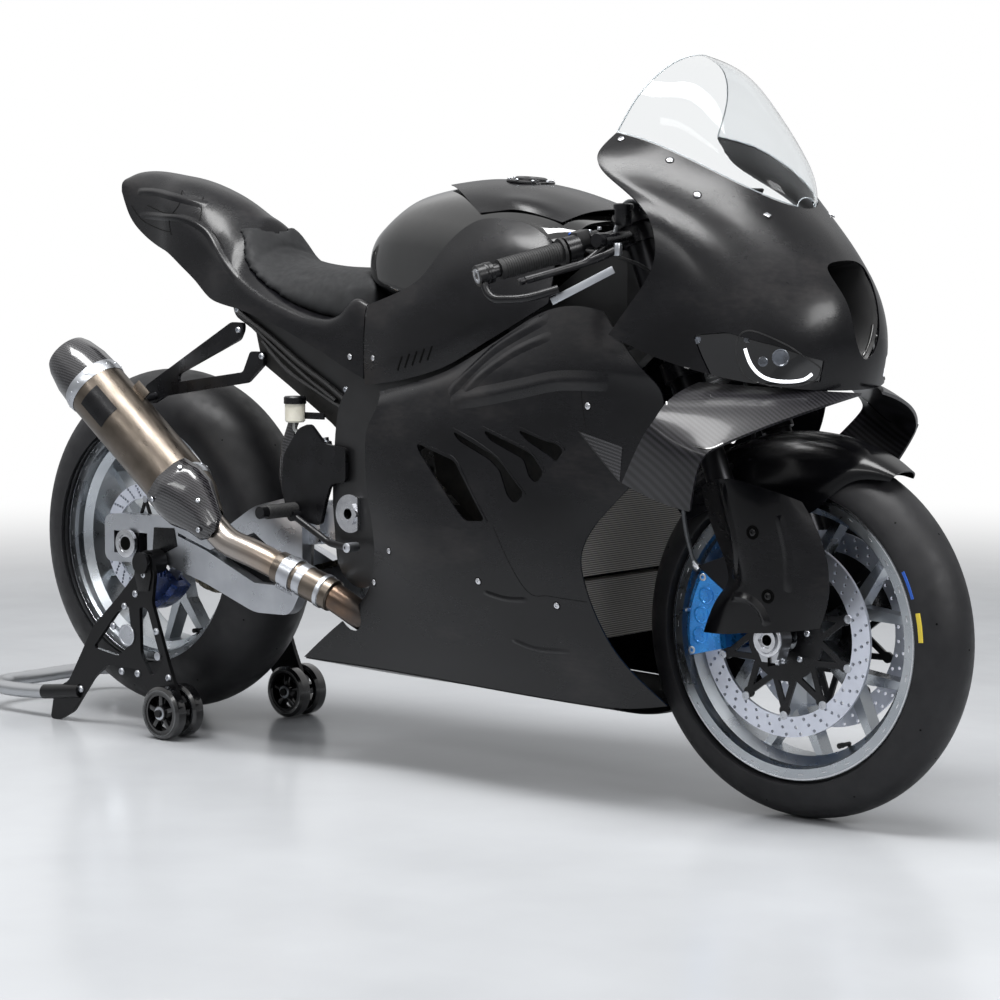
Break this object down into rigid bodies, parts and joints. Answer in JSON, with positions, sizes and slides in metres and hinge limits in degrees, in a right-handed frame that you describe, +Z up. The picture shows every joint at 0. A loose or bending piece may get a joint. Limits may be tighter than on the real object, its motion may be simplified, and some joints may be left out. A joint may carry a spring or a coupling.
{
  "type": "sport bike on a paddock stand",
  "caption": "Faired sport bike with steering fork and turning wheels, held upright by a wheeled paddock stand under its swingarm.",
  "frame": {"origin": "middle of the bounding box on the floor", "axes": "+X to the front of the bike, +Y to its left side, +Z up"},
  "size_m": [2.1549, 0.7812, 1.222],
  "materials": {
    "tyre": "slick rubber",
    "rim": "grey anodised",
    "disc_steel": "brushed",
    "black_metal": "satin black anodised",
    "sprocket": "machined",
    "chain_steel": "oiled",
    "bright_alloy": "machined",
    "grip_rubber": "ribbed",
    "body_black": "satin black",
    "blue_caliper": "blue anodised",
    "cast_black": "dark cast",
    "silver_alloy": "silver anodised",
    "radiator": "fine fins",
    "titanium": "brushed titanium",
    "lamp": "dark clear lamp",
    "screen": "clear",
    "tank_gloss": "gloss black",
    "seat_foam": "closed-cell foam",
    "carbon": "glossy woven fibre",
    "dash_plastic": "matt",
    "stand_black": "black anodised plates",
    "roller": "hard plastic rollers",
    "dark_blue_caliper": "dark blue anodised",
    "hose": "grey braided hose"
  },
  "bodies": {
    "chassis": {"drive_chain": "chain_steel", "main_frame": "black_metal", "engine_block": "cast_black", "swingarm": "silver_alloy", "swingarm_pivot": "bright_alloy", "rear_axle": "black_metal", "subframe": "black_metal", "radiator": "radiator", "oil_cooler": "radiator", "rearset_right": "black_metal", "rearset_left": "black_metal", "exhaust_pipe": "titanium", "muffler": "titanium", "muffler_hanger": "black_metal", "nose_fairing": "body_black", "headlights": "lamp", "windscreen": "screen", "side_fairing_right": "body_black", "side_fairing_left": "body_black", "belly_fairing": "body_black", "fuel_tank": "tank_gloss", "tank_cover": "body_black", "seat_unit": "body_black", "seat_pad": "seat_foam", "winglet_right": "carbon", "winglet_left": "carbon", "fairing_stay": "black_metal", "dashboard": "dash_plastic", "stand_frame": "stand_black", "stand_spools": "bright_alloy", "rear_caliper": "dark_blue_caliper"},
    "front_fork": {"fork_legs": "black_metal", "front_axle": "bright_alloy", "triple_clamps": "black_metal", "clip_on_bars": "black_metal", "grips": "grip_rubber", "bar_controls": "black_metal", "lever_guards": "black_metal", "front_fender": "body_black", "fork_covers": "body_black", "front_calipers": "blue_caliper", "brake_hoses": "hose"},
    "front_wheel": {"front_tyre": "tyre", "front_rim": "rim", "front_discs": "disc_steel", "front_disc_carriers": "black_metal"},
    "rear_wheel": {"rear_tyre": "tyre", "rear_rim": "rim", "rear_disc": "disc_steel", "rear_sprocket": "sprocket"},
    "right_stand_rollers": {"stand_rollers_right": "roller"},
    "left_stand_rollers": {"stand_rollers_left": "roller"}
  },
  "joints": [
    {"name": "steering", "type": "hinge", "parent": "chassis", "child": "front_fork", "pos_m": [0.75383, 0, 0.28732], "axis": [-0.3843, 0, 0.9232], "range_deg": [-22, 22]},
    {"name": "front_wheel_spin", "type": "hinge", "parent": "front_fork", "child": "front_wheel", "pos_m": [0.7795, 0, 0.298], "axis": [0, 1, 0], "continuous": true},
    {"name": "rear_wheel_spin", "type": "hinge", "parent": "chassis", "child": "rear_wheel", "pos_m": [-0.6775, 0, 0.35], "axis": [0, 1, 0], "continuous": true},
    {"name": "stand_roller_right_spin", "type": "hinge", "parent": "chassis", "child": "right_stand_rollers", "pos_m": [-0.5235, -0.164, 0.05], "axis": [0, 1, 0], "continuous": true},
    {"name": "stand_roller_left_spin", "type": "hinge", "parent": "chassis", "child": "left_stand_rollers", "pos_m": [-0.5235, 0.164, 0.05], "axis": [0, 1, 0], "continuous": true}
  ]
}
